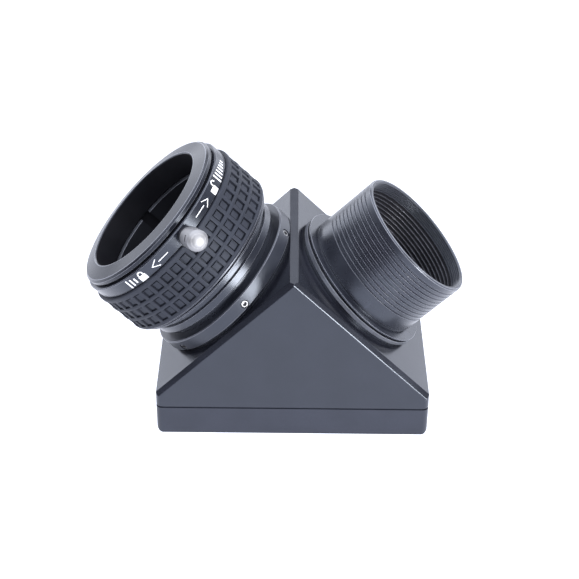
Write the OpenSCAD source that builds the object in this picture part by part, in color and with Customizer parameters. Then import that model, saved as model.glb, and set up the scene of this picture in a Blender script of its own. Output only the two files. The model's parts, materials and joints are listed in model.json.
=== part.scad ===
// Two-inch 90 degree mirror star diagonal with a twist-lock eyepiece clamp.
//
// Frame: millimetres, +Z up. The origin is the centre of the base plate's underside.
// The plain triangular side faces -Y. The eyepiece axis leans to -X, the nosepiece
// axis to +X, both at 45 degrees, and they cross on the mirror's reflecting surface.
//
// On each axis, "station" is the distance outwards from that crossing point.

/* [Housing] */
// Half of the housing's width along X
half_base = 50.5; // [50:0.1:52]
// Depth of the housing along Y
housing_depth = 68.7; // [68:0.1:72]
// Thickness of the base plate
plate_thickness = 11.8; // [11.5:0.1:12]
// Height at which the sloping leg faces begin
leg_foot_z = 17.7; // [17.5:0.1:18.5]
// Height of the mirror's reflecting surface, where the two axes cross
mirror_z = 21.4; // [21:0.1:21.6]
// Wall thickness behind the leg faces
leg_wall = 6; // [5.5:0.1:6]
// Chamfer along the leg faces' long edges
leg_chamfer = 1.7; // [1:0.1:2]
// Half width of the flat land along the ridge between the two leg faces
ridge_land = 1.6; // [1:0.1:1.8]
// Radius of the two edges of that land
ridge_edge_radius = 0.8; // [0.5:0.1:1.5]
// Radius along the outer edge of the leg faces' chamfer
leg_edge_radius = 1.2; // [0.6:0.1:1.5]
// Radius of the upright corners
corner_radius = 2.1; // [1:0.1:2.5]
// Radius along the base plate's lower end edges
plate_edge_radius = 2.5; // [1:0.1:3]
// Width and depth of the recessed seam between housing and base plate
seam = 0.35; // [0.2:0.05:0.6]

/* [Mirror] */
// Length of the mirror along X
mirror_length = 72; // [68:1:72]
// Width of the mirror along Y
mirror_width = 50.8; // [48:0.1:50.8]
// Thickness of the silicone pads under the mirror
pad_thickness = 0.6; // [0.4:0.1:0.8]
// Corner clip of the mirror
mirror_corner = 5; // [3:1:8]

/* [Nosepiece] */
// Outer diameter of the barrel that goes into a telescope's focuser
barrel_diameter = 50.8; // [50.7:0.05:50.8]
// Station of the barrel's rim
barrel_end = 64.5; // [64.5:0.1:66]
// Number of grip grooves around the barrel
groove_count = 10; // [6:1:10]
// Distance from one groove to the next
groove_pitch = 1.806; // [1.7:0.001:1.82]
// Depth of each groove
groove_depth = 0.4; // [0.2:0.05:0.5]
// Inner radius of the filter thread at the mouth
filter_radius = 23.62; // [23.5:0.01:23.7]
// Length of the filter thread
filter_length = 3.7; // [3.5:0.1:4]
// Radius of the two flange discs at the barrel's foot
flange_radius = 29.2; // [29:0.1:30]

/* [Eyepiece clamp] */
// Radius of the bore that takes a two-inch eyepiece barrel
eyepiece_radius = 25.5; // [25.45:0.01:25.55]
// Station of the clamp's open mouth
clamp_end = 78.2; // [78:0.1:79]
// Radius of the smooth band on the lock ring
band_radius = 34; // [33.8:0.1:34.2]
// Radius of the grip's highest ribs
grip_radius = 35.15; // [35:0.05:35.5]
// Number of pockets around the rubber grip
pocket_count = 45; // [36:1:48]
// Rows of pockets along the grip
pocket_rows = 3; // [2:1:3]
// Radial travel of the clamp rollers from released to touching the split ring
roller_travel = 0.3; // [0.2:0.05:0.4]
// Turn of the lock ring from released to locked, in degrees
lock_turn = 30; // [24:1:30]
// Height of the lever knob above its seat
knob_height = 13.3; // [10:0.1:14]
// Radius of the lever knob
knob_radius = 3.85; // [3.5:0.05:3.85]

/* [Fasteners] */
// Radius of the base plate's screws
plate_screw_radius = 1.5; // [1.4:0.1:1.6]
// Radius of the set screws that hold the clamp on its dovetail
set_screw_radius = 1.5; // [1.4:0.05:1.5]
// Number of set screws
set_screw_count = 6; // [3:1:6]

/* [Hidden] */
$fn = 96;

eyepiece_side = -1;
nosepiece_side = 1;
cut = 0.1;

// Housing
half_depth = housing_depth / 2;
apex_z = leg_foot_z + half_base;
leg_station = (apex_z - mirror_z) / sqrt(2);
inner_station = leg_station - leg_wall;
cavity_half_length = half_base - 6.5;
cavity_half_depth = half_depth - 6.35;
port_thread_radius = 27.0;
port_hole_radius = 27.05;
light_radius = 23.5;

// Base plate screws
screw_x = half_base - 3.7;
screw_y = half_depth - 3.55;
screw_head_radius = 2.9;
screw_head_height = 1.7;
screw_sink = 0.3;
screw_length = 17;

// Mirror and what holds it
mirror_thickness = mirror_z - plate_thickness - pad_thickness;
pad_radius = 6;
pad_circle = 17;
clip_sheet = 0.8;
clip_width = 8;
clip_y = 12;
clip_x = mirror_length / 2 + 0.3;
clip_foot = 6;
clip_lip = 1.6;
clip_screw_x = clip_x + clip_sheet + 2.7;
clip_screw_radius = 1.25;

// Nosepiece
barrel_radius = barrel_diameter / 2;
adapter_disc_rear = leg_station + 1.4;
adapter_disc_front = leg_station + 3;
barrel_disc_rear = leg_station + 3.8;
barrel_disc_front = leg_station + 4.5;
foot_undercut = 0.45;
groove_start = 44.85;
groove_width = 0.9;
baffle_pitch = 1.54;
baffle_count = 12;
baffle_radius = 23.3;
baffle_depth = 0.6;
nosepiece_foot = leg_station - 4.1;
nosepiece_thread_radius = 24.9;
nosepiece_collar_radius = 27.5;

// Eyepiece port, base ring and set screws
port_boss_radius = 29.0;
port_boss_end = leg_station + 4.6;
dovetail_station = 36.45;
dovetail_depth = 0.9;
base_ring_rear = 34.6;
base_ring_front = 39.9;
base_ring_radius = 32.6;
set_screw_angle = -8.7;

// Clamp body
body_rear = 38.0;
body_stop = 42.0;
neck_rear = 42.6;
neck_front = 45.7;
neck_radius = 30.4;
groove_floor_radius = 28.3;
thrust_rear = 48.8;
thrust_front = 49.6;
thrust_radius = 33.4;
journal_radius = 28.92;
sleeve_radius = 26.9;
collet_seat = 53.7;
body_front = 72.6;
stop_lip_radius = 24.0;

// Collet and rollers
collet_rear = 54.0;
collet_front = 68.1;
collet_radius = 26.7;
collet_gap = 4.25;
collet_gap_angle = 120;
roller_radius = 1.6;
roller_count = 6;
roller_angle = 30;
roller_rear = 55.8;
roller_length = 10.4;
roller_play = 0.03;
roller_circle = collet_radius + roller_radius + roller_travel + roller_play;
window_side_play = 0.05;
window_end_play = 0.2;

// Lock ring: each cam is a slice of a circle set off-centre, so the ramp is nearly straight
ring_bore_radius = 29.0;
ring_rear = 50.3;
ring_front = 74.3;
lip_radius = 34.7;
lip_front = 51.1;
cam_play = 0.02;
cam_offset = roller_travel / (cos(90 - lock_turn / 2) - cos(90 + lock_turn / 2));
cam_radius = roller_circle + roller_radius + cam_play - roller_travel / 2;
cam_margin = 3.6;
stop_circle = 31.1;
stop_pin_radius = 1.1;
stop_pin_angle = 45;
stop_slot_play = 0.2;
stop_slot_end = ring_rear + 2.8;

// Rubber grip
grip_rear = lip_front;
grip_front = 69.1;
grip_inner = 33.2;
grip_gap = 0.35;
grip_rib = 0.2;
grip_shoulder = 0.15;
pocket_length = 3.9;
pocket_width = 3.4;
pocket_pitch = 5.35;
pocket_first = 65.2;
pocket_floor = 34.25;
pocket_angle = -54;

// Lever
knob_angle = -59.2;
knob_station = 70;
knob_seat = 33.7;
knob_foot_radius = 3.5;
knob_foot_height = 3.5;
seat_radius = knob_foot_radius + 0.1;
notch_radius = knob_radius + 0.25;
knob_dome_radius = 6.5;
stud_radius = 2;
stud_inner = 29.6;
stud_outer = 38;

// Glide washers and nose ring
washer_inner = 29.1;
rear_washer_outer = 32.6;
rear_washer_front = 50.2;
front_washer_rear = 74.4;
front_washer_outer = 31.2;
flange_rear = 74.9;
nose_radius = 32.75;
nose_bore_radius = 25.85;
nose_hub_radius = 28.9;
nose_tail = 68.4;

// Colours
anodised = [0.17, 0.17, 0.20];
anodised_light = [0.24, 0.24, 0.28];
steel = [0.78, 0.78, 0.80];
rubber = [0.12, 0.13, 0.15];

// ---------------------------------------------------------------- helpers

// Puts local +Z on one optical axis, with z = station
module on_axis(side) {
    translate([0, 0, mirror_z]) rotate([0, 45 * side, 0]) children();
}

// A turned solid: points are [radius, station]
module turned(side, points) {
    on_axis(side) rotate_extrude() polygon(points);
}

// Puts local +Z along the outward radius at one place on the clamp
module on_radius(angle, station) {
    on_axis(eyepiece_side) rotate([0, 0, angle]) translate([0, 0, station])
        rotate([0, 90, 0]) children();
}

// A rectangle with round corners, centred, drawn without hull or offset
module round_rectangle(length, width, radius) {
    square([length - 2 * radius, width], center = true);
    square([length, width - 2 * radius], center = true);
    for (x = [-1, 1], y = [-1, 1])
        translate([x * (length / 2 - radius), y * (width / 2 - radius)])
            circle(r = radius, $fn = 48);
}

// An upright block with round corners, from one height to another
module round_block(inset, bottom, top) {
    translate([0, 0, bottom]) linear_extrude(top - bottom)
        round_rectangle(2 * (half_base - inset), 2 * (half_depth - inset), corner_radius);
}

// A shape in X and Z carried along Y
module along_depth(half) {
    rotate([90, 0, 0]) linear_extrude(2 * half, center = true) children();
}

// A solid slice of a tube, between two angles
module ring_slice(inner, outer, bottom, top, from, turn) {
    rotate([0, 0, from]) rotate_extrude(angle = turn)
        translate([inner, bottom]) square([outer - inner, top - bottom]);
}

// ---------------------------------------------------------------- housing

// Points that round off the corner between two straight runs of an outline
function rounded_corner(before, corner, after, radius, steps = 4) =
    let (
        back = (before - corner) / norm(before - corner),
        ahead = (after - corner) / norm(after - corner),
        half = acos(back * ahead) / 2,
        centre = corner + (back + ahead) / norm(back + ahead) * radius / sin(half),
        first = corner + back * radius / tan(half) - centre,
        last = corner + ahead * radius / tan(half) - centre,
        turn = 180 - 2 * half
    )
    [for (i = [0 : steps])
        centre + (first * sin((steps - i) / steps * turn) + last * sin(i / steps * turn)) / sin(turn)];

// Half of the outline across a leg: the side, the chamfer with both its edges rounded, the leg face
function half_leg_outline() =
    let (
        foot = [half_depth, -80],
        outer = [half_depth, leg_station - leg_chamfer],
        inner = [half_depth - leg_chamfer, leg_station],
        middle = [0, leg_station]
    )
    concat([foot], rounded_corner(foot, outer, inner, leg_edge_radius),
        rounded_corner(outer, inner, middle, leg_edge_radius / 2));

module leg_prism(side) {
    half = half_leg_outline();
    other_half = [for (i = [len(half) - 1 : -1 : 0]) [-half[i][0], half[i][1]]];
    on_axis(side) rotate([90, 0, 90]) linear_extrude(160, center = true) polygon(concat(half, other_half));
}

// The triangular outline, with a narrow flat land at the top and both its edges rounded
module ridge_profile() {
    reach = ridge_edge_radius * tan(22.5);
    slope = reach / sqrt(2);
    land_z = apex_z - ridge_land;
    for (side = [-1, 1])
        translate([side * (ridge_land - reach), land_z - ridge_edge_radius])
            circle(r = ridge_edge_radius, $fn = 64);
    start = [half_base, plate_thickness];
    top = [ridge_land + slope, land_z - slope];
    foot = rounded_corner(start, [half_base, leg_foot_z], top, 1);
    half = concat([start], foot, [top, [ridge_land - reach, land_z]]);
    polygon(concat(half, [for (i = [len(half) - 1 : -1 : 0]) [-half[i][0], half[i][1]]]));
}

module housing_cavity() {
    foot = mirror_z + inner_station * sqrt(2) - cavity_half_length;
    along_depth(cavity_half_depth) polygon([
        [-cavity_half_length, plate_thickness - cut], [cavity_half_length, plate_thickness - cut],
        [cavity_half_length, foot], [0, foot + cavity_half_length], [-cavity_half_length, foot]
    ]);
    for (side = [eyepiece_side, nosepiece_side])
        on_axis(side) translate([0, 0, inner_station - cut])
            cylinder(r = port_hole_radius, h = leg_wall + 2 * cut);
}

module plate_screw_places() {
    for (x = [-screw_x, screw_x], y = [-screw_y, screw_y]) translate([x, y, 0]) children();
}

module housing() {
    color(anodised) difference() {
        intersection() {
            union() {
                round_block(seam, plate_thickness, plate_thickness + seam);
                round_block(0, plate_thickness + seam, apex_z);
            }
            along_depth(half_depth) ridge_profile();
            leg_prism(eyepiece_side);
            leg_prism(nosepiece_side);
        }
        housing_cavity();
        plate_screw_places() cylinder(r = plate_screw_radius, h = screw_length + 0.8, $fn = 32);
    }
}

// ---------------------------------------------------------------- base plate

module plate_profile() {
    radius = plate_edge_radius;
    for (x = [-1, 1]) translate([x * (half_base - radius), radius]) circle(r = radius, $fn = 48);
    translate([radius - half_base, 0]) square([2 * (half_base - radius), plate_thickness]);
    translate([-half_base, radius]) square([2 * half_base, plate_thickness - radius]);
}

module base_plate() {
    color(anodised) difference() {
        intersection() {
            union() {
                round_block(0, 0, plate_thickness - seam);
                round_block(seam, plate_thickness - seam, plate_thickness);
            }
            along_depth(half_depth) plate_profile();
        }
        plate_screw_places() {
            translate([0, 0, -cut]) cylinder(r = plate_screw_radius, h = plate_thickness + 1, $fn = 32);
            translate([0, 0, screw_sink])
                cylinder(r1 = screw_head_radius, r2 = plate_screw_radius, h = screw_head_height);
            translate([0, 0, -cut]) cylinder(r = screw_head_radius, h = screw_sink + cut);
        }
        for (x = [-1, 1], y = [-1, 1]) translate([x * clip_screw_x, y * clip_y, plate_thickness - 5])
            cylinder(r = clip_screw_radius, h = 6, $fn = 32);
    }
}

module base_plate_screws() {
    color(steel) plate_screw_places() difference() {
        union() {
            translate([0, 0, screw_sink])
                cylinder(r1 = screw_head_radius, r2 = plate_screw_radius, h = screw_head_height);
            translate([0, 0, screw_sink + screw_head_height])
                cylinder(r = plate_screw_radius, h = screw_length - screw_head_height, $fn = 32);
        }
        translate([0, 0, -cut]) cylinder(r = 1.15, h = screw_sink + 1.4, $fn = 6);
    }
}

// ---------------------------------------------------------------- mirror

module mirror_block() {
    x = mirror_length / 2;
    y = mirror_width / 2;
    c = mirror_corner;
    color([0.75, 0.85, 0.90]) translate([0, 0, plate_thickness + pad_thickness])
        linear_extrude(mirror_thickness) polygon([
            [-x, c - y], [c - x, -y], [x - c, -y], [x, c - y],
            [x, y - c], [x - c, y], [c - x, y], [-x, y - c]
        ]);
}

module mirror_pads() {
    color("white") for (turn = [0, 120, 240]) rotate([0, 0, turn])
        translate([pad_circle, 0, plate_thickness]) cylinder(r = pad_radius, h = pad_thickness);
}

module mirror_clips() {
    top = mirror_z + clip_sheet + 0.05;
    color(steel) for (x = [0, 1], y = [-1, 1]) mirror([x, 0, 0]) translate([0, y * clip_y, 0])
        difference() {
            along_depth(clip_width / 2) polygon([
                [clip_x, plate_thickness], [clip_x + clip_foot, plate_thickness],
                [clip_x + clip_foot, plate_thickness + clip_sheet],
                [clip_x + clip_sheet, plate_thickness + clip_sheet],
                [clip_x + clip_sheet, top], [clip_x - clip_lip, top],
                [clip_x - clip_lip, top - clip_sheet], [clip_x, top - clip_sheet]
            ]);
            translate([clip_screw_x, 0, plate_thickness - cut])
                cylinder(r = clip_screw_radius, h = clip_sheet + 2 * cut, $fn = 32);
        }
}

module mirror_clip_screws() {
    head = 1.5;
    color(steel) for (x = [-1, 1], y = [-1, 1]) translate([x * clip_screw_x, y * clip_y, 0])
        difference() {
            union() {
                translate([0, 0, plate_thickness - 4.5])
                    cylinder(r = clip_screw_radius, h = 4.5 + clip_sheet, $fn = 32);
                translate([0, 0, plate_thickness + clip_sheet]) cylinder(r = 2.2, h = head);
            }
            translate([0, 0, plate_thickness + clip_sheet + head - 0.9]) cylinder(r = 1, h = 1, $fn = 6);
        }
}

// ---------------------------------------------------------------- nosepiece

// Ring screwed into the housing, ending in the rear flange disc
module nosepiece_adapter() {
    edge = 0.2;
    color(anodised) turned(nosepiece_side, [
        [light_radius + 0.1, inner_station + 0.3], [port_thread_radius, inner_station + 0.3],
        [port_thread_radius, leg_station], [port_thread_radius + 0.9, leg_station],
        [port_thread_radius + 0.9, adapter_disc_rear], [flange_radius - edge, adapter_disc_rear],
        [flange_radius, adapter_disc_rear + edge], [flange_radius, adapter_disc_front - edge],
        [flange_radius - edge, adapter_disc_front], [nosepiece_thread_radius, adapter_disc_front],
        [nosepiece_thread_radius, nosepiece_foot], [light_radius + 0.1, nosepiece_foot]
    ]);
}

// The outside of the barrel: front flange disc, undercut foot, grip grooves, chamfered rim
function barrel_outline() = concat(
    [
        [nosepiece_thread_radius, nosepiece_foot], [nosepiece_thread_radius, adapter_disc_front],
        [nosepiece_collar_radius, adapter_disc_front], [nosepiece_collar_radius, barrel_disc_rear],
        [flange_radius - 0.15, barrel_disc_rear], [flange_radius, barrel_disc_rear + 0.15],
        [flange_radius, barrel_disc_front - 0.15], [flange_radius - 0.15, barrel_disc_front],
        [barrel_radius - foot_undercut, barrel_disc_front],
        [barrel_radius - foot_undercut, barrel_disc_front + 0.6], [barrel_radius, barrel_disc_front + 0.9]
    ],
    [for (i = [0 : groove_count - 1], corner = [0 : 3])
        let (start = groove_start + i * groove_pitch)
        [barrel_radius - (corner == 1 || corner == 2 ? groove_depth : 0),
         start + (corner > 1 ? groove_width : 0)]],
    [[barrel_radius, barrel_end - 0.6], [barrel_radius - 0.45, barrel_end]]
);

// The inside: filter thread at the mouth, then baffle grooves that kill stray light
function barrel_inside() = concat(
    [[filter_radius + 0.45, barrel_end], [filter_radius, barrel_end - 0.35],
     [filter_radius, barrel_end - 0.35 - filter_length]],
    [for (i = [0 : baffle_count - 1], corner = [0, 1])
        [baffle_radius + corner * baffle_depth,
         barrel_end - 0.35 - filter_length - 0.2 - (i + corner * 0.5) * baffle_pitch]],
    [[baffle_radius, barrel_end - 4.25 - baffle_count * baffle_pitch], [baffle_radius, nosepiece_foot]]
);

module nosepiece() {
    color(anodised) turned(nosepiece_side, concat(barrel_outline(), barrel_inside()));
}

// ---------------------------------------------------------------- eyepiece port and base ring

// Ring screwed into the housing, ending in a boss with a V groove for the set screws
module eyepiece_port() {
    color(anodised) turned(eyepiece_side, [
        [light_radius, inner_station + 0.3], [port_thread_radius, inner_station + 0.3],
        [port_thread_radius, leg_station], [port_boss_radius + 1.4, leg_station],
        [port_boss_radius + 1.4, leg_station + 1.2], [port_boss_radius, leg_station + 1.2],
        [port_boss_radius, dovetail_station - dovetail_depth],
        [port_boss_radius - dovetail_depth, dovetail_station],
        [port_boss_radius, dovetail_station + dovetail_depth],
        [port_boss_radius, port_boss_end - 0.2], [port_boss_radius - 0.2, port_boss_end],
        [light_radius, port_boss_end]
    ]);
}

module set_screw_places() {
    for (i = [0 : set_screw_count - 1])
        on_radius(set_screw_angle + i * 360 / set_screw_count, dovetail_station) children();
}

module clamp_base_ring() {
    edge = 0.35;
    color(anodised_light) difference() {
        turned(eyepiece_side, [
            [port_boss_radius + 0.08, base_ring_rear], [base_ring_radius - edge, base_ring_rear],
            [base_ring_radius, base_ring_rear + edge], [base_ring_radius, base_ring_front - edge],
            [base_ring_radius - edge, base_ring_front], [groove_floor_radius, base_ring_front],
            [groove_floor_radius, body_rear - 0.05], [port_boss_radius + 0.08, body_rear - 0.05]
        ]);
        set_screw_places() translate([0, 0, port_boss_radius - 1])
            cylinder(r = set_screw_radius + 0.05, h = 6, $fn = 32);
    }
}

// M3 cone-point set screws; their tips press into the port's V groove
module swivel_set_screws() {
    tip = port_boss_radius - dovetail_depth + 0.1;
    tip_height = set_screw_radius - 0.08;
    top = base_ring_radius - 0.3;
    color(steel) set_screw_places() difference() {
        union() {
            translate([0, 0, tip]) cylinder(r1 = 0.08, r2 = set_screw_radius, h = tip_height, $fn = 48);
            translate([0, 0, tip + tip_height])
                cylinder(r = set_screw_radius, h = top - tip - tip_height, $fn = 48);
        }
        translate([0, 0, top - 1.3]) cylinder(r = 0.87, h = 1.5, $fn = 6);
    }
}

// ---------------------------------------------------------------- clamp body

module roller_places() {
    for (i = [0 : roller_count - 1])
        on_axis(eyepiece_side) rotate([0, 0, roller_angle + i * 360 / roller_count]) children();
}

// Sleeve with the eyepiece stop, the neck, a thrust flange, and a window for each roller
module clamp_body() {
    edge = 0.3;
    color(anodised_light) difference() {
        turned(eyepiece_side, [
            [stop_lip_radius, body_rear], [groove_floor_radius, body_rear],
            [groove_floor_radius, neck_rear], [neck_radius - edge, neck_rear],
            [neck_radius, neck_rear + edge], [neck_radius, neck_front - edge],
            [neck_radius - edge, neck_front], [neck_radius - 0.9, neck_front],
            [neck_radius - 0.9, thrust_rear], [thrust_radius - edge / 2, thrust_rear],
            [thrust_radius, thrust_rear + edge / 2], [thrust_radius, thrust_front - edge / 2],
            [thrust_radius - edge / 2, thrust_front], [journal_radius, thrust_front],
            [journal_radius, body_front], [sleeve_radius, body_front],
            [sleeve_radius, collet_seat], [eyepiece_radius, collet_seat],
            [eyepiece_radius, body_stop], [stop_lip_radius, body_stop]
        ]);
        roller_places() translate([
            sleeve_radius - 1,
            -roller_radius - window_side_play,
            roller_rear - window_end_play
        ]) cube([4, 2 * (roller_radius + window_side_play), roller_length + 2 * window_end_play]);
        stop_pin_place() translate([0, 0, thrust_rear - cut]) cylinder(r = stop_pin_radius, h = 2, $fn = 48);
    }
}

// Ring with one split, squeezed onto the eyepiece barrel by the rollers
module clamp_collet() {
    edge = 0.4;
    lead_in = 0.7;
    color(anodised) difference() {
        turned(eyepiece_side, [
            [eyepiece_radius + edge, collet_rear], [collet_radius, collet_rear],
            [collet_radius, collet_front], [eyepiece_radius + lead_in, collet_front],
            [eyepiece_radius, collet_front - lead_in], [eyepiece_radius, collet_rear + edge]
        ]);
        on_axis(eyepiece_side) rotate([0, 0, collet_gap_angle])
            translate([eyepiece_radius - 2, -collet_gap / 2, collet_rear - 1])
                cube([5, collet_gap, collet_front - collet_rear + 2]);
    }
}

module roller(index) {
    color(steel) on_axis(eyepiece_side)
        rotate([0, 0, roller_angle + (index - 1) * 360 / roller_count])
            translate([roller_circle, 0, roller_rear])
                cylinder(r = roller_radius, h = roller_length, $fn = 48);
}

module stop_pin_place() {
    on_axis(eyepiece_side) rotate([0, 0, stop_pin_angle]) translate([stop_circle, 0, 0]) children();
}

module stop_pin() {
    color(steel) stop_pin_place() translate([0, 0, thrust_rear])
        cylinder(r = stop_pin_radius, h = stop_slot_end - 0.4 - thrust_rear, $fn = 48);
}

module rear_glide_washer() {
    color("black") difference() {
        turned(eyepiece_side, [
            [washer_inner, thrust_front], [rear_washer_outer, thrust_front],
            [rear_washer_outer, rear_washer_front], [washer_inner, rear_washer_front]
        ]);
        stop_pin_place() translate([0, 0, thrust_front - cut])
            cylinder(r = stop_pin_radius + 0.05, h = 1, $fn = 48);
    }
}

// ---------------------------------------------------------------- lock ring

// Room for one roller over the ring's whole turn, with the ramp that pushes it inwards
module cam_pocket() {
    intersection() {
        rotate([0, 0, lock_turn / 2 - 90]) translate([cam_offset, 0, roller_rear - 0.4])
            cylinder(r = cam_radius, h = roller_length + 0.8, $fn = 360);
        ring_slice(ring_bore_radius - 2, ring_bore_radius + 2, roller_rear - 1,
            roller_rear + roller_length + 1, -cam_margin, lock_turn + 2 * cam_margin);
    }
}

// Blind arc in the ring's rear face; the stop pin meets its two ends
module stop_slot() {
    half_width = stop_pin_radius + stop_slot_play;
    reach = asin(half_width / stop_circle);
    on_axis(eyepiece_side)
        ring_slice(stop_circle - half_width, stop_circle + half_width, ring_rear - cut,
            stop_slot_end, stop_pin_angle - reach, lock_turn + 2 * reach);
}

module lock_ring() {
    edge = 0.35;
    color(anodised_light) difference() {
        turned(eyepiece_side, [
            [ring_bore_radius, ring_rear], [lip_radius - edge, ring_rear],
            [lip_radius, ring_rear + edge], [lip_radius, lip_front],
            [grip_inner, lip_front], [grip_inner, grip_front + grip_gap],
            [band_radius, grip_front + grip_gap], [band_radius, ring_front - edge],
            [band_radius - edge, ring_front], [ring_bore_radius, ring_front]
        ]);
        roller_places() cam_pocket();
        stop_slot();
        on_radius(knob_angle, knob_station) {
            translate([0, 0, knob_seat]) cylinder(r = seat_radius, h = 2);
            translate([0, 0, ring_bore_radius - 2]) cylinder(r = stud_radius, h = 8, $fn = 48);
        }
    }
}

// Rubber sleeve with rows of square pockets; the ribs between rows stand a little prouder
function grip_outline() = concat(
    [[grip_radius - 0.9, grip_rear], [grip_radius - 0.25, grip_rear + 0.35], [grip_radius, grip_rear + 1]],
    [for (row = [pocket_rows - 1 : -1 : 0], corner = [0 : 3])
        let (centre = pocket_first - row * pocket_pitch)
        [grip_radius - (corner == 1 || corner == 2 ? grip_rib : 0),
         centre + (corner > 1 ? 1 : -1) * (pocket_length / 2 + grip_shoulder)]],
    [[grip_radius, grip_front - 0.3], [grip_radius - 0.3, grip_front]]
);

module rubber_grip() {
    color(rubber) difference() {
        turned(eyepiece_side, concat(
            [[grip_inner, grip_rear]], grip_outline(), [[grip_inner, grip_front]]
        ));
        for (row = [0 : pocket_rows - 1], i = [0 : pocket_count - 1])
            on_radius(pocket_angle + i * 360 / pocket_count, pocket_first - row * pocket_pitch)
                translate([-pocket_length / 2, -pocket_width / 2, pocket_floor])
                    cube([pocket_length, pocket_width, 2]);
        on_radius(knob_angle, knob_station) translate([0, 0, knob_seat - 1])
            cylinder(r = notch_radius, h = 4);
    }
}

module lever_stud() {
    color(steel) on_radius(knob_angle, knob_station) translate([0, 0, stud_inner])
        cylinder(r = stud_radius, h = stud_outer - stud_inner, $fn = 48);
}

module lever_knob() {
    color(steel) on_radius(knob_angle, knob_station) translate([0, 0, knob_seat]) difference() {
        union() {
            cylinder(r = knob_foot_radius, h = knob_foot_height);
            translate([0, 0, knob_foot_height]) intersection() {
                cylinder(r = knob_radius, h = knob_height - knob_foot_height);
                translate([0, 0, knob_height - knob_foot_height - knob_dome_radius])
                    sphere(r = knob_dome_radius);
            }
        }
        translate([0, 0, -cut]) cylinder(r = stud_radius, h = stud_outer - knob_seat + cut, $fn = 48);
    }
}

// ---------------------------------------------------------------- nose ring

module front_glide_washer() {
    color("black") turned(eyepiece_side, [
        [washer_inner, front_washer_rear], [front_washer_outer, front_washer_rear],
        [front_washer_outer, flange_rear], [washer_inner, flange_rear]
    ]);
}

// Screwed into the sleeve; its flange keeps the lock ring on
module nose_ring() {
    color(anodised_light) turned(eyepiece_side, [
        [nose_bore_radius, nose_tail], [sleeve_radius, nose_tail],
        [sleeve_radius, body_front], [nose_hub_radius, body_front],
        [nose_hub_radius, flange_rear], [nose_radius - 0.3, flange_rear],
        [nose_radius, flange_rear + 0.3], [nose_radius, clamp_end - 1.6],
        [nose_radius - 0.15, clamp_end - 1.25], [nose_radius - 0.6, clamp_end - 1],
        [nose_bore_radius + 0.6, clamp_end], [nose_bore_radius + 0.25, clamp_end - 0.1],
        [nose_bore_radius, clamp_end - 0.45]
    ]);
}

// ---------------------------------------------------------------- nodes

housing();
base_plate();
base_plate_screws();
mirror_block();  // mirror
mirror_pads();
mirror_clips();
mirror_clip_screws();
nosepiece_adapter();
nosepiece();
eyepiece_port();
clamp_base_ring();
swivel_set_screws();
clamp_body();
clamp_collet();
roller(1);  // roller_1
roller(2);  // roller_2
roller(3);  // roller_3
roller(4);  // roller_4
roller(5);  // roller_5
roller(6);  // roller_6
rear_glide_washer();
stop_pin();
lock_ring();
rubber_grip();
lever_stud();
lever_knob();
front_glide_washer();
nose_ring();
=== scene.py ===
"""Looks of a two-inch mirror star diagonal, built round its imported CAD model. Metres, +Z up."""

import json
import math

import bmesh
import bpy
import numpy as np
from mathutils import Matrix, Vector

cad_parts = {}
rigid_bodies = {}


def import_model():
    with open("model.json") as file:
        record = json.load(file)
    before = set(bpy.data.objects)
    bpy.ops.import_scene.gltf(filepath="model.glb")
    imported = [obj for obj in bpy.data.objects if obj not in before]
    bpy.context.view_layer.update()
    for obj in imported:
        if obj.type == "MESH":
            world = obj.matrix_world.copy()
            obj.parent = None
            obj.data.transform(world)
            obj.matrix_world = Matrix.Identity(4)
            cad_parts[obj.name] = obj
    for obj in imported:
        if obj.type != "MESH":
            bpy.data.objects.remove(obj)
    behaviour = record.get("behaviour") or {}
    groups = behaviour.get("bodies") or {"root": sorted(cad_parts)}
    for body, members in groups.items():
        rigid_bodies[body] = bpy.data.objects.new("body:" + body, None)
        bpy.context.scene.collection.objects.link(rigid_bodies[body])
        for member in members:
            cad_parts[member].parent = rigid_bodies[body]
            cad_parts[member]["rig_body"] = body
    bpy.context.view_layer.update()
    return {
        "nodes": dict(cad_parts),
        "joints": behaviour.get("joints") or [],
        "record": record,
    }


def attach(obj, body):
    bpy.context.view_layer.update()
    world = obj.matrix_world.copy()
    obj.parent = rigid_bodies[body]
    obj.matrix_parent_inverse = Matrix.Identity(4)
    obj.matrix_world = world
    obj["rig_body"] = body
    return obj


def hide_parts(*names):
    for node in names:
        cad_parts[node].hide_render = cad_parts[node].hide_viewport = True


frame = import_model()
NODES = frame["nodes"]
SLOT_OF = {part["node"]: part["material_slot"] for part in frame["record"]["subparts"]}
MM = 0.001

# The two optical axes cross on the mirror's surface. A station is a distance out along an axis.
SWIVEL = next(joint for joint in frame["joints"] if joint["name"] == "clamp_swivel")
CROSSING = Vector(SWIVEL["pos_m"])


def axis_matrix(side):
    """Local +Z runs out along an axis, and local +X up the leg face.

    The side is -1 for the eyepiece's axis and 1 for the nosepiece's.
    """
    return Matrix.Translation(CROSSING) @ Matrix.Rotation(side * math.pi / 4, 4, "Y")


EYEPIECE = axis_matrix(-1)
NOSEPIECE = axis_matrix(1)


def on_radius(angle, station):
    """Local +Z runs out along a radius of the clamp, and local +X back towards the housing. Millimetres."""
    spin = Matrix.Rotation(math.radians(angle), 4, "Z")
    return EYEPIECE @ spin @ Matrix.Translation((0, 0, station * MM)) @ Matrix.Rotation(math.pi / 2, 4, "Y")


# ------------------------------------------------------------------ camera

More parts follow.
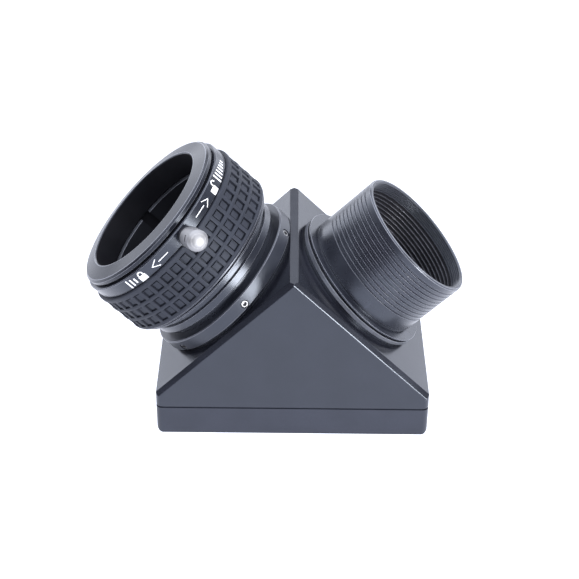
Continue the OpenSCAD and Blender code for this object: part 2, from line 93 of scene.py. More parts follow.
def add_camera():
    azimuth, elevation, roll = math.radians(-0.146), math.radians(33.771), math.radians(0.670)
    distance, aim_right, aim_up, aim_height = 0.5764, -0.00144, 0.004735, 0.03606
    back = Vector((
        math.sin(azimuth) * math.cos(elevation),
        -math.cos(azimuth) * math.cos(elevation),
        math.sin(elevation),
    ))
    level_right = Vector((math.cos(azimuth), math.sin(azimuth), 0))
    level_up = back.cross(level_right)
    right = math.cos(roll) * level_right + math.sin(roll) * level_up
    up = math.cos(roll) * level_up - math.sin(roll) * level_right
    data = bpy.data.cameras.new("camera")
    data.sensor_width = 36
    data.lens = 94.31
    data.clip_start, data.clip_end = 0.05, 20
    camera = bpy.data.objects.new("camera", data)
    bpy.context.scene.collection.objects.link(camera)
    place = back * distance + right * aim_right + up * aim_up + Vector((0, 0, aim_height))
    camera.matrix_world = Matrix.Translation(place) @ Matrix((right, up, back)).transposed().to_4x4()
    bpy.context.scene.camera = camera


add_camera()


# ------------------------------------------------------------------ materials

def add_node(tree, kind, settings=None, **inputs):
    """A shader node. An input's value is a plain value, or another node's output to link."""
    node = tree.nodes.new("ShaderNode" + kind)
    for name, value in (settings or {}).items():
        setattr(node, name, value)
    for name, value in inputs.items():
        socket = node.inputs[int(name[1:])] if name[0] == "_" else node.inputs[name]
        if isinstance(value, bpy.types.NodeSocket):
            tree.links.new(value, socket)
        else:
            socket.default_value = value
    return node


def calculate(tree, operation, first, second):
    """The output of one Math node."""
    return add_node(tree, "Math", {"operation": operation}, _0=first, _1=second).outputs[0]


def ramp_between(tree, value, low, high, out_low, out_high):
    """The value, from low to high, eased to the range out_low to out_high."""
    node = add_node(
        tree, "MapRange", {"interpolation_type": "SMOOTHSTEP"},
        _0=value, _1=low, _2=high, _3=out_low, _4=out_high,
    )
    return node.outputs[0]


def grain(tree, vector, size, detail=2.0):
    """Noise whose features are about this many metres across."""
    return add_node(tree, "TexNoise", Vector=vector, Scale=1 / size, Detail=detail).outputs["Fac"]


def surface(
    name, colour, roughness, metallic=0.0, variation=0.12, patch=0.012, speckle=0.00022,
    speckle_depth=0.000004, turning=None, turning_depth=0.000004, edge_shine=0.0, **sockets
):
    """A finish: patches of slightly varied colour and roughness, fine speckle, and turned lines if asked.

    Other arguments are the shader's own sockets, with _ for a space.
    """
    # Between these levels of the noise a patch or a fleck goes from its least to its most.
    patch_low, patch_high, fleck_low, fleck_high = 0.3, 0.7, 0.25, 0.75
    # Between these levels of pointiness an edge goes from plain to its full painted highlight.
    shine_low, shine_high = 0.52, 0.6
    # The share by which roughness varies both ways
    rough_spread = 0.08
    material = bpy.data.materials.new(name)
    material.use_nodes = True
    tree = material.node_tree
    shader = tree.nodes["Principled BSDF"]
    place = add_node(tree, "TexCoord").outputs["Object"]
    patches = grain(tree, place, patch, 3.0)
    fine = grain(tree, place, speckle)
    if variation:
        amount = ramp_between(tree, patches, patch_low, patch_high, 1 - variation, 1 + variation)
        fleck = ramp_between(tree, fine, fleck_low, fleck_high, 1 - variation, 1 + variation)
        amount = calculate(tree, "MULTIPLY", amount, fleck)
        # Sharp edges can be lightened by their pointiness: a painted highlight along them.
        if edge_shine:
            edge = add_node(tree, "NewGeometry").outputs["Pointiness"]
            shine = ramp_between(tree, edge, shine_low, shine_high, 1.0, 1 + edge_shine)
            amount = calculate(tree, "MULTIPLY", amount, shine)
        tint = add_node(tree, "VectorMath", {"operation": "SCALE"}, Scale=amount)
        tint.inputs[0].default_value = colour
        tree.links.new(tint.outputs[0], shader.inputs["Base Color"])
    else:
        shader.inputs["Base Color"].default_value = (*colour, 1)
    rough = ramp_between(
        tree, patches, patch_low, patch_high, roughness * (1 - rough_spread), roughness * (1 + rough_spread),
    )
    tree.links.new(rough, shader.inputs["Roughness"])
    bump = add_node(tree, "Bump", Strength=1.0, Distance=speckle_depth, Height=fine)
    if turning:
        parts = add_node(tree, "SeparateXYZ", Vector=place)
        flat = add_node(tree, "CombineXYZ", X=parts.outputs["X"], Y=parts.outputs["Y"])
        radius = add_node(tree, "VectorMath", {"operation": "LENGTH"}, _0=flat.outputs[0]).outputs["Value"]
        along = add_node(tree, "CombineXYZ", X=radius, Z=parts.outputs["Z"])
        lines = grain(tree, along.outputs[0], turning, 1.0)
        turned_bump = add_node(
            tree, "Bump", Strength=1.0, Distance=turning_depth, Height=lines, Normal=bump.outputs[0],
        )
        tree.links.new(turned_bump.outputs[0], shader.inputs["Normal"])
    else:
        tree.links.new(bump.outputs[0], shader.inputs["Normal"])
    shader.inputs["Metallic"].default_value = metallic
    for socket, value in sockets.items():
        shader.inputs[socket.replace("_", " ")].default_value = value
    return material


# Width of the fine turned lines in metres, and a slightly blue tint for reflections
TURNED = 0.00016
COOL = (0.80, 0.87, 1.0, 1)
MATERIALS = {
    "anodised_housing": surface(
        "housing", (0.007, 0.0075, 0.011), 0.22, edge_shine=0.5, speckle=0.0003, speckle_depth=0.000007,
        IOR=1.58, Specular_Tint=COOL),
    "anodised_plate": surface(
        "plate", (0.008, 0.0085, 0.013), 0.30, edge_shine=0.5, speckle=0.0003, speckle_depth=0.000006,
        IOR=1.53, Specular_Tint=COOL),
    "anodised_nosepiece": surface(
        "nosepiece", (0.011, 0.012, 0.017), 0.27, turning=TURNED, turning_depth=0.000002, edge_shine=0.5,
        IOR=1.61, Specular_Tint=COOL),
    "anodised_clamp": surface(
        "clamp", (0.010, 0.011, 0.016), 0.26, turning=TURNED, edge_shine=0.5, IOR=1.56, Specular_Tint=COOL),
    "anodised_collet": surface(
        "collet", (0.008, 0.008, 0.010), 0.45, turning=TURNED, IOR=1.4, Specular_Tint=COOL),
    "screw_steel": surface("screw", (0.30, 0.30, 0.31), 0.4, 1.0, variation=0.05),
    "roller_steel": surface("roller", (0.68, 0.68, 0.7), 0.16, 1.0, variation=0.03),
    "polished_steel": surface(
        "polished", (0.27, 0.27, 0.28), 0.5, 1.0, variation=0.02, turning=0.00012, turning_depth=0.0000015),
    "spring_steel": surface("spring", (0.55, 0.56, 0.58), 0.3, 1.0, variation=0.08, patch=0.004),
    "mirror_coating": surface(
        "mirror", (0.92, 0.94, 0.96), 0.015, 1.0, variation=0.005, speckle_depth=0.0000001),
    "silicone": surface("silicone", (0.72, 0.71, 0.68), 0.6, variation=0.04, speckle_depth=0.00001),
    "grip_rubber": surface(
        "rubber", (0.014, 0.0155, 0.022), 0.62, variation=0.14, patch=0.006, speckle=0.00035,
        speckle_depth=0.000012, IOR=1.40, Specular_Tint=COOL),
    "glide_plastic": surface("glide", (0.012, 0.012, 0.013), 0.5, variation=0.1),
}
PRINT_INK = surface("print_ink", (0.86, 0.87, 0.88), 0.5, variation=0.04, speckle_depth=0.000003)
# A lighter, half-metallic colour for the rounded outside edges of turned pieces: a painted highlight along
# every such edge.
EDGE_HIGHLIGHT = surface(
    "painted_edge_highlight", (0.17, 0.175, 0.20), 0.34, 0.5, variation=0.1, speckle_depth=0.000001)
RING_BLACK = surface(
    "ring_black", (0.009, 0.010, 0.014), 0.24, turning=TURNED, turning_depth=0.000002, IOR=1.38,
    Specular_Tint=COOL)
BASE_RING_BLACK = surface(
    "base_ring_black", (0.010, 0.011, 0.016), 0.36, turning=TURNED, IOR=1.56, Specular_Tint=COOL)
# A much lighter colour for the knurled rim of the adapter's disc: the knurl is real, its lightness a painted
# sheen.
KNURL_AND_SHEEN = surface("knurl_and_sheen", (0.070, 0.075, 0.092), 0.45, variation=0.2, speckle=0.0004, IOR=1.6)
# A plain colour a little lighter than the nosepiece's outside, for the inside of its barrel: a painted
# highlight on the baffle crests.
BORE_PLAIN = surface("bore_plain", (0.016, 0.017, 0.022), 0.34, variation=0.05, IOR=1.6, Specular_Tint=COOL)
# A darker steel for the knob's foot: painted shade where the foot reflects the dark band.
SHADED_KNOB_FOOT = surface("shaded_knob_foot", (0.24, 0.24, 0.26), 0.3, 1.0, variation=0.06, turning=0.00012)
# Near-black for the floors of the baffle grooves and the walls of the knob's slit: painted shade in these
# recesses.
GROOVE_SHADE = surface("painted_groove_shade", (0.007, 0.007, 0.010), 0.45, variation=0.1, IOR=1.4)
BORE_BLACK = surface("bore_black", (0.004, 0.004, 0.006), 0.5, variation=0.1, turning=TURNED, IOR=1.3)


# ------------------------------------------------------------------ mesh helpers

def declare(piece, node, body=None):
    """A finished piece that stands for a CAD node and rides on its body."""
    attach(piece, body or NODES[node]["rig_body"])
    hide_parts(node)
    return piece


# Two faces that meet at more than this angle have a sharp edge between them.
SHARP = math.radians(25)
# A point this near local Z lies on it. Millimetres.
ON_AXIS = 1e-6


def new_object(name, mesh, place=Matrix.Identity(4)):
    """The mesh as an object in the scene, at this place."""
    piece = bpy.data.objects.new(name, mesh)
    bpy.context.scene.collection.objects.link(piece)
    piece.matrix_world = place
    return piece


# A corner that turns less than the first is left as it is; a step of a rounded one turns at most the second.
STRAIGHT, ARC_STEP = math.radians(1), math.radians(31)
# A rounded corner takes at most this share of each of its two sides.
SIDE_SHARE = 0.42


def rounded(outline, radius):
    """The closed outline with its corners rounded: rows of radius, station, normal, and outside corner or 0.

    A point may give a third number, its own radius.
    """
    count = len(outline)
    pairs = zip(outline, outline[1:] + outline[:1])
    side = 1 if sum(a[0] * b[1] - b[0] * a[1] for a, b in pairs) > 0 else -1
    rows = []
    for index in range(count):
        corner = Vector(outline[index][:2])
        back = Vector(outline[index - 1][:2]) - corner
        ahead = Vector(outline[(index + 1) % count][:2]) - corner
        coming, going = -back.normalized(), ahead.normalized()
        first = Vector((coming.y, -coming.x)) * side
        last = Vector((going.y, -going.x)) * side
        cross = coming.x * going.y - coming.y * going.x
        turn = math.atan2(cross, coming.dot(going))
        if corner.x < ON_AXIS:
            rows.append((corner.x, corner.y, 0.0, math.copysign(1, last.y + first.y), 0))
            continue
        if abs(turn) < STRAIGHT:
            rows.append((corner.x, corner.y, last.x, last.y, 0))
            continue
        grip = math.tan(abs(turn) / 2)
        own = outline[index][2] if len(outline[index]) > 2 else radius
        reach = min(own * grip, SIDE_SHARE * back.length, SIDE_SHARE * ahead.length)
        outside = index + 1 if turn * side > 0 else 0
        bend = math.copysign(reach / grip, turn * side)
        centre = corner - coming * reach - first * bend
        steps = max(1, math.ceil(abs(turn) / ARC_STEP))
        for step in range(steps + 1):
            angle = turn * step / steps
            normal = Vector((
                first.x * math.cos(angle) - first.y * math.sin(angle),
                first.x * math.sin(angle) + first.y * math.cos(angle),
            ))
            point = centre + normal * bend
            rows.append((point.x, point.y, normal.x, normal.y, outside))
    return rows


# A vertex this near a row of the outline lies on it; the rim of a hole cut through a land doesn't.
ON_OUTLINE = 0.03 * MM
# So many vertices are compared with the outline at a time.
BATCH = 4000
# Where the cosine between the outline's normal and the face's own is below this, the face keeps its own.
SAME_WAY = 0.75


def nearest_rows(mesh, rows):
    """For each vertex: its radius, the nearest row of the outline, and how far off that row is."""
    points = np.array([(row[0] * MM, row[1] * MM) for row in rows])
    count = len(mesh.vertices)
    places = np.empty(count * 3)
    mesh.vertices.foreach_get("co", places)
    places = places.reshape(-1, 3)
    radius = np.hypot(places[:, 0], places[:, 1])
    nearest = np.empty(count, dtype=int)
    distance = np.empty(count)
    for start in range(0, count, BATCH):
        part = slice(start, start + BATCH)
        across = radius[part, None] - points[None, :, 0]
        along = places[part, 2, None] - points[None, :, 1]
        gap = across ** 2 + along ** 2
        nearest[part] = gap.argmin(axis=1)
        distance[part] = np.sqrt(gap.min(axis=1))
    return places, radius, nearest, distance


def mark_edges(mesh, rows, material):
    """Gives the rounded outside edges of a turned shape the material with this number."""
    nearest, distance = nearest_rows(mesh, rows)[2:]
    corners = np.array([row[4] for row in rows])[nearest]
    corners[distance > ON_OUTLINE] = 0
    for polygon in mesh.polygons:
        first, *others = [corners[index] for index in polygon.vertices]
        if first and all(other == first for other in others):
            polygon.material_index = material


def set_turned_normals(mesh, rows):
    """Exact normals for a turned shape; faces cut across it keep their own."""
    ways = np.array([(row[2], row[3]) for row in rows])
    places, radius, nearest, _ = nearest_rows(mesh, rows)
    safe = np.maximum(radius, 1e-9)
    radial = ways[nearest, 0]
    smooth = np.stack([radial * places[:, 0] / safe, radial * places[:, 1] / safe, ways[nearest, 1]], axis=1)
    loops = np.empty(len(mesh.loops), dtype=int)
    mesh.loops.foreach_get("vertex_index", loops)
    totals = np.empty(len(mesh.polygons), dtype=int)
    mesh.polygons.foreach_get("loop_total", totals)
    flat = np.empty(len(mesh.polygons) * 3)
    mesh.polygons.foreach_get("normal", flat)
    flat = np.repeat(flat.reshape(-1, 3), totals, axis=0)
    wanted = smooth[loops]
    crossing = (wanted * flat).sum(axis=1) < SAME_WAY
    wanted[crossing] = flat[crossing]
    mesh.shade_smooth()
    mesh.normals_split_custom_set(wanted.tolist())


def turned_mesh(name, rows, count, start=0.0, sweep=360.0):
    """A mesh of the outline swept round local Z, closed by flat ends where it doesn't go all the way."""
    whole = sweep >= 360
    rings = count if whole else count + 1
    angles = [math.radians(start + sweep * index / count) for index in range(rings)]
    vertices, first = [], []
    for radius, station, *_ in rows:
        first.append(len(vertices))
        if radius < ON_AXIS:
            vertices.append((0, 0, station * MM))
        else:
            reach, height = radius * MM, station * MM
            vertices += [(reach * math.cos(angle), reach * math.sin(angle), height) for angle in angles]
    faces = []
    total = len(rows)
    for index in range(total):
        after = (index + 1) % total
        pole, next_pole = rows[index][0] < ON_AXIS, rows[after][0] < ON_AXIS
        if pole and next_pole:
            continue
        for step in range(count):
            ahead = (step + 1) % rings
            near = [first[index]] if pole else [first[index] + step, first[index] + ahead]
            far = [first[after]] if next_pole else [first[after] + ahead, first[after] + step]
            faces.append(near + far)
    if not whole:
        faces.append(list(first))
        faces.append([start_index + count for start_index in reversed(first)])
    mesh = bpy.data.meshes.new(name)
    mesh.from_pydata(vertices, [], faces)
    work = bmesh.new()
    work.from_mesh(mesh)
    bmesh.ops.recalc_face_normals(work, faces=work.faces)
    work.to_mesh(mesh)
    work.free()
    return mesh


def prism(outline, bottom, top, place):
    """A temporary solid: an outline in local X and Y carried from bottom to top. Millimetres."""
    count = len(outline)
    vertices = [(x * MM, y * MM, z * MM) for z in (bottom, top) for x, y in outline]
    faces = [list(range(count))[::-1], list(range(count, 2 * count))]
    faces += [[i, (i + 1) % count, count + (i + 1) % count, count + i] for i in range(count)]
    mesh = bpy.data.meshes.new("cutter")
    mesh.from_pydata(vertices, [], faces)
    return new_object("cutter", mesh, place)


def disc(radius, count=48, x=0.0):
    """A closed outline: points on a circle, starting half a step round."""
    angles = [2 * math.pi * (index + 0.5) / count for index in range(count)]
    return [(x + radius * math.cos(angle), radius * math.sin(angle)) for angle in angles]


# Vertices of a cut that are this near each other are one vertex.
SAME_PLACE = 0.001 * MM


def cut_away(piece, cutters):
    """The piece's mesh with the cutters taken out of it."""
    for cutter in cutters:
        modifier = piece.modifiers.new("cut", "BOOLEAN")
        modifier.operation = "DIFFERENCE"
        modifier.solver = "EXACT"
        modifier.object = cutter
    bpy.context.view_layer.update()
    ready = piece.evaluated_get(bpy.context.evaluated_depsgraph_get())
    mesh = bpy.data.meshes.new_from_object(ready)
    clean = bmesh.new()
    clean.from_mesh(mesh)
    bmesh.ops.remove_doubles(clean, verts=clean.verts, dist=SAME_PLACE)
    bmesh.ops.dissolve_degenerate(clean, edges=clean.edges, dist=SAME_PLACE)
    clean.to_mesh(mesh)
    clean.free()
    piece.modifiers.clear()
    old = piece.data
    piece.data = mesh
    mesh.name = old.name
    bpy.data.meshes.remove(old)
    for cutter in cutters:
        old = cutter.data
        bpy.data.objects.remove(cutter)
        bpy.data.meshes.remove(old)


def turned(
    node, place, outline, fillet=0.1, count=192, cutters=(), start=0.0, sweep=360.0, bore=0.0, finish=None,
    highlight_edges=True
):
    """A finished turned piece that stands for a CAD node. Inside the radius bore it is dull black."""
    rows = rounded(outline, fillet)
    piece = new_object(node + "_finished", turned_mesh(node, rows, count, start, sweep), place)
    if cutters:
        cut_away(piece, cutters)
    set_turned_normals(piece.data, rows)
    piece.data.materials.clear()
    piece.data.materials.append(finish or MATERIALS[SLOT_OF[node]])
    # The rounded outside edges get the lighter colour, a painted highlight.
    if highlight_edges:
        mark_edges(piece.data, rows, len(piece.data.materials))
        piece.data.materials.append(EDGE_HIGHLIGHT)
    if bore:
        piece.data.materials.append(BORE_BLACK)
        for polygon in piece.data.polygons:
            if math.hypot(polygon.center.x, polygon.center.y) < bore * MM:
                polygon.material_index = len(piece.data.materials) - 1
    return declare(piece, node)


def refined(node):
    """A copy of a CAD node with flat faces kept flat and its rounded edges shaded smooth."""
    weld, flat = 0.002 * MM, math.radians(0.2)
    mesh = NODES[node].data.copy()
    work = bmesh.new()
    work.from_mesh(mesh)
    bmesh.ops.remove_doubles(work, verts=work.verts, dist=weld)
    bmesh.ops.dissolve_limit(work, angle_limit=flat, verts=work.verts, edges=work.edges)
    for edge in work.edges:
        edge.smooth = len(edge.link_faces) == 2 and edge.calc_face_angle(0) < SHARP
    for face in work.faces:
        face.smooth = True
    work.to_mesh(mesh)
    work.free()
    piece = new_object(node + "_finished", mesh)
    weight = piece.modifiers.new("even_normals", "WEIGHTED_NORMAL")
    weight.keep_sharp = True
    mesh.materials.clear()
    mesh.materials.append(MATERIALS[SLOT_OF[node]])
    return declare(piece, node)


refined("housing")
refined("base_plate")

# Stations of the leg's outer and inner face, and of the nosepiece's foot inside the adapter
LEG = 33.093
LEG_INNER = LEG - 6
NOSE_FOOT = LEG - 4.1
# Radii of the light's path, the threads in the leg, the nosepiece's thread, the flange discs and the barrel
LIGHT = 23.5
LEG_THREAD = 27.0
NOSE_THREAD = 24.9
FLANGE = 29.2
BARREL = 25.4
# Station of the barrel's rim
RIM = 64.5
# Lines of the knurl, highs and lows counted, its depth, and how far in from the disc's rim its lighter
# colour, a painted sheen, reaches
KNURL_LINES, KNURL_DEPTH, KNURL_EDGE = 720, 0.16, 0.25


def nosepiece_adapter():
    """Its flange disc has a fine straight knurl round it."""
    rear, front, edge = LEG + 1.4, LEG + 3, 0.2
    piece = turned("nosepiece_adapter", NOSEPIECE, [
        (LIGHT + 0.1, LEG_INNER + 0.3), (LEG_THREAD, LEG_INNER + 0.3), (LEG_THREAD, LEG), (27.9, LEG),
        (27.9, rear),
        (FLANGE - edge, rear), (FLANGE, rear + edge), (FLANGE, front - edge), (FLANGE - edge, front),
        (NOSE_THREAD, front), (NOSE_THREAD, NOSE_FOOT), (LIGHT + 0.1, NOSE_FOOT),
    ], count=KNURL_LINES, highlight_edges=False)
    knurl(piece, rear, front)
    piece.data.materials.append(KNURL_AND_SHEEN)
    # The knurled rim takes the lighter colour, a painted sheen.
    for polygon in piece.data.polygons:
        if math.hypot(polygon.center.x, polygon.center.y) > (FLANGE - KNURL_EDGE) * MM:
            polygon.material_index = 1


def knurl(piece, rear, front):
    """Every other line of points on the disc's rim stands back a little."""
    mesh = piece.data
    for vertex in mesh.vertices:
        place = vertex.co
        radius = math.hypot(place.x, place.y)
        step = round((math.degrees(math.atan2(place.y, place.x)) % 360) * KNURL_LINES / 360)
        if radius > (FLANGE - 0.04) * MM and step % 2:
            share = (radius - KNURL_DEPTH * MM) / radius
            vertex.co = (place.x * share, place.y * share, place.z)
    mesh.normals_split_custom_set([(0, 0, 0)] * len(mesh.loops))
    limit = (FLANGE - KNURL_EDGE) * MM
    sharp = [False] * len(mesh.edges)
    for index, edge in enumerate(mesh.edges):
        ends = [mesh.vertices[end].co for end in edge.vertices]
        sharp[index] = all(math.hypot(end.x, end.y) > limit and rear < end.z / MM < front for end in ends)
    for index, value in enumerate(sharp):
        mesh.edges[index].use_edge_sharp = value or mesh.edges[index].use_edge_sharp


def nosepiece():
    """Front disc, grip grooves with sloped walls, filter thread and baffle grooves."""
    rear, front = LEG + 3.8, LEG + 4.5
    grooves, first_groove, pitch, width, depth = 10, 44.85, 1.806, 0.9, 0.4
    outline = [
        (NOSE_THREAD, NOSE_FOOT), (NOSE_THREAD, LEG + 3), (27.5, LEG + 3), (27.5, rear),
        (FLANGE - 0.15, rear),
        (FLANGE, rear + 0.15), (FLANGE, front - 0.15), (FLANGE - 0.15, front), (BARREL - 0.45, front),
        (BARREL - 0.45, front + 0.6), (BARREL, front + 0.9),
    ]
    for groove in range(grooves):
        start = first_groove + groove * pitch
        outline += [(BARREL, start), (BARREL - depth, start + 0.28)]
        outline += [(BARREL - depth, start + width - 0.06), (BARREL, start + width)]
    outline += [(BARREL, RIM - 0.6, 0.3), (BARREL - 0.45, RIM, 0.25)]
    # The filter thread, then the baffle grooves
    outline += [(24.25, RIM), (24.0, RIM - 0.3)]
    thread, thread_turns, thread_pitch, crest, root = RIM - 0.45, 5, 0.75, 23.62, 23.98
    for turn in range(thread_turns):
        start = thread - turn * thread_pitch
        outline += [(crest, start), (crest, start - 0.1), (root, start - 0.4), (root, start - 0.5)]
    outline += [(crest, thread - thread_turns * thread_pitch + 0.1)]
    baffle, baffles, baffle_pitch, ridge_top, groove_floor = RIM - 4.25, 12, 1.54, 23.3, 23.85
    for ridge in range(baffles):
        start = baffle - ridge * baffle_pitch
        outline += [(ridge_top, start), (ridge_top, start - 0.22)]
        outline += [(groove_floor, start - 0.3), (groove_floor, start - 1.36)]
    outline += [(ridge_top, baffle - baffles * baffle_pitch), (ridge_top, NOSE_FOOT)]
    piece = turned("nosepiece", NOSEPIECE, outline, fillet=0.07, count=224)
    piece.data.materials.append(GROOVE_SHADE)
    piece.data.materials.append(BORE_PLAIN)
    painted_edge_highlight, painted_groove_shade, bore_plain = 1, 2, 3
    # Inside the barrel the floors of the baffle grooves take painted shade, and the rest, crests included, a
    # lighter plain colour that paints their highlight.
    wall = 24.2
    for polygon in piece.data.polygons:
        radius = math.hypot(polygon.center.x, polygon.center.y)
        behind_thread = polygon.center.z < (RIM - 4.3) * MM
        if (ridge_top + 0.06) * MM < radius < wall * MM and behind_thread:
            polygon.material_index = painted_groove_shade
        elif radius < wall * MM and not (behind_thread and polygon.material_index == painted_edge_highlight):
            polygon.material_index = bore_plain


nosepiece_adapter()
nosepiece()


# ------------------------------------------------------------------ eyepiece clamp

ROLLER_ANGLES = [30 + 60 * index for index in range(6)]
ROLLER_CIRCLE, ROLLER = 28.63, 1.6
LOCK_TURN = 30.0
STOP_CIRCLE, STOP_ANGLE = 31.1, 45.0
KNOB_ANGLE, KNOB_STATION, KNOB_SEAT = -59.2, 70.0, 33.7
SET_SCREW_ANGLES = [-8.7 + 60 * index for index in range(6)]
SET_SCREW_STATION = 36.45
BAND = 34.0
GRIP_INNER, GRIP_FRONT = 33.2, 69.1


def spun(angle):
    """The clamp's frame turned by this angle about its own axis."""
    return EYEPIECE @ Matrix.Rotation(math.radians(angle), 4, "Z")


def eyepiece_port():
    boss, front = 29.0, LEG + 4.6
    turned("eyepiece_port", EYEPIECE, [
        (LIGHT, LEG_INNER + 0.3), (LEG_THREAD, LEG_INNER + 0.3), (LEG_THREAD, LEG), (boss + 1.4, LEG),
        (boss + 1.4, LEG + 1.2), (boss, LEG + 1.2), (boss, SET_SCREW_STATION - 0.9),
        (boss - 0.9, SET_SCREW_STATION), (boss, SET_SCREW_STATION + 0.9),
        (boss, front - 0.2), (boss - 0.2, front), (LIGHT, front),
    ])


def clamp_base_ring():
    edge, bore = 0.35, 29.08
    holes = [prism(disc(1.55), 28, 34, on_radius(angle, SET_SCREW_STATION)) for angle in SET_SCREW_ANGLES]
    turned("clamp_base_ring", EYEPIECE, [
        (bore, 34.6), (32.6 - edge, 34.6), (32.6, 34.6 + edge), (32.6, 39.9 - edge), (32.6 - edge, 39.9),
        (28.3, 39.9), (28.3, 37.95), (bore, 37.95),
    ], fillet=0.15, cutters=holes, finish=BASE_RING_BLACK)


def clamp_body():
    half = 1.65
    window = [(25.9, -half), (29.9, -half), (29.9, half), (25.9, half)]
    cutters = [prism(window, 55.6, 66.4, spun(angle)) for angle in ROLLER_ANGLES]
    cutters.append(prism(disc(1.1, x=STOP_CIRCLE), 48.7, 50.7, spun(STOP_ANGLE)))
    edge = 0.3
    turned("clamp_body", EYEPIECE, [
        (24.0, 38.0), (28.3, 38.0), (28.3, 42.6), (30.4 - edge, 42.6), (30.4, 42.6 + edge),
        (30.4, 45.7 - edge), (30.4 - edge, 45.7), (29.5, 45.7), (29.5, 48.8), (33.25, 48.8), (33.4, 48.95),
        (33.4, 49.45), (33.25, 49.6), (28.92, 49.6), (28.92, 72.6), (26.9, 72.6), (26.9, 53.7),
        (25.5, 53.7), (25.5, 42.0), (24.0, 42.0),
    ], fillet=0.12, cutters=cutters, bore=27.5)


def clamp_collet():
    gap = math.degrees(2 * math.asin(4.25 / 2 / 26.1))
    edge, lead_in = 0.4, 0.7
    turned("clamp_collet", EYEPIECE, [
        (25.5 + edge, 54.0), (26.7, 54.0), (26.7, 68.1), (25.5 + lead_in, 68.1), (25.5, 68.1 - lead_in),
        (25.5, 54.0 + edge),
    ], fillet=0.15, start=120 + gap / 2, sweep=360 - gap)


def cam_pocket(angle):
    """Room for one roller: the wall is a slice of a circle set off-centre, which is the cam's ramp."""
    travel, play, margin, steps = 0.3, 0.02, 3.6, 12
    offset = travel / (2 * math.sin(math.radians(LOCK_TURN / 2)))
    cam = ROLLER_CIRCLE + ROLLER + play - travel / 2
    outline = []
    for step in range(steps + 1):
        turn = math.radians(-margin + (LOCK_TURN + 2 * margin) * step / steps)
        lean = turn - math.radians(LOCK_TURN / 2 - 90)
        reach = offset * math.cos(lean) + math.sqrt(cam ** 2 - (offset * math.sin(lean)) ** 2)
        outline.append((reach * math.cos(turn), reach * math.sin(turn)))
    for turn in (LOCK_TURN + margin, LOCK_TURN / 2, -margin):
        turn = math.radians(turn)
        outline.append((27.0 * math.cos(turn), 27.0 * math.sin(turn)))
    return prism(outline, 55.4, 66.6, spun(angle))


def stop_slot():
    half, count = 1.3, 16
    reach = math.degrees(math.asin(half / STOP_CIRCLE))
    turns = [math.radians(-reach + (LOCK_TURN + 2 * reach) * step / count) for step in range(count + 1)]
    wide, narrow = STOP_CIRCLE + half, STOP_CIRCLE - half
    outer = [(wide * math.cos(turn), wide * math.sin(turn)) for turn in turns]
    inner = [(narrow * math.cos(turn), narrow * math.sin(turn)) for turn in turns]
    return prism(outer + inner[::-1], 50.2, 53.1, spun(STOP_ANGLE))


def lock_ring():
    edge, shoulder = 0.35, GRIP_FRONT + 0.35
    cutters = [cam_pocket(angle) for angle in ROLLER_ANGLES]
    cutters.append(stop_slot())
    cutters.append(prism(disc(3.6), KNOB_SEAT, 36, on_radius(KNOB_ANGLE, KNOB_STATION)))
    cutters.append(prism(disc(2.0), 27, 34, on_radius(KNOB_ANGLE, KNOB_STATION)))
    turned("lock_ring", EYEPIECE, [
        (29.0, 50.3), (34.7 - edge, 50.3), (34.7, 50.3 + edge), (34.7, 51.1), (GRIP_INNER, 51.1),
        (GRIP_INNER, shoulder), (BAND, shoulder), (BAND, 74.3 - edge), (BAND - edge, 74.3), (29.0, 74.3),
    ], fillet=0.1, cutters=cutters)


def nose_ring():
    turned("nose_ring", EYEPIECE, [
        (25.85, 68.4), (26.9, 68.4), (26.9, 72.6), (28.9, 72.6), (28.9, 74.9), (32.45, 74.9), (32.75, 75.2),
        (32.75, 76.45), (32.2, 76.95), (31.85, 77.2, 0.7), (26.4, 78.2, 0.4), (26.1, 78.1), (25.85, 77.75),
    ], fillet=0.12, count=256, bore=25.95, finish=RING_BLACK)


eyepiece_port()
clamp_base_ring()
clamp_body()
clamp_collet()
lock_ring()
nose_ring()


# ------------------------------------------------------------------ rubber grip

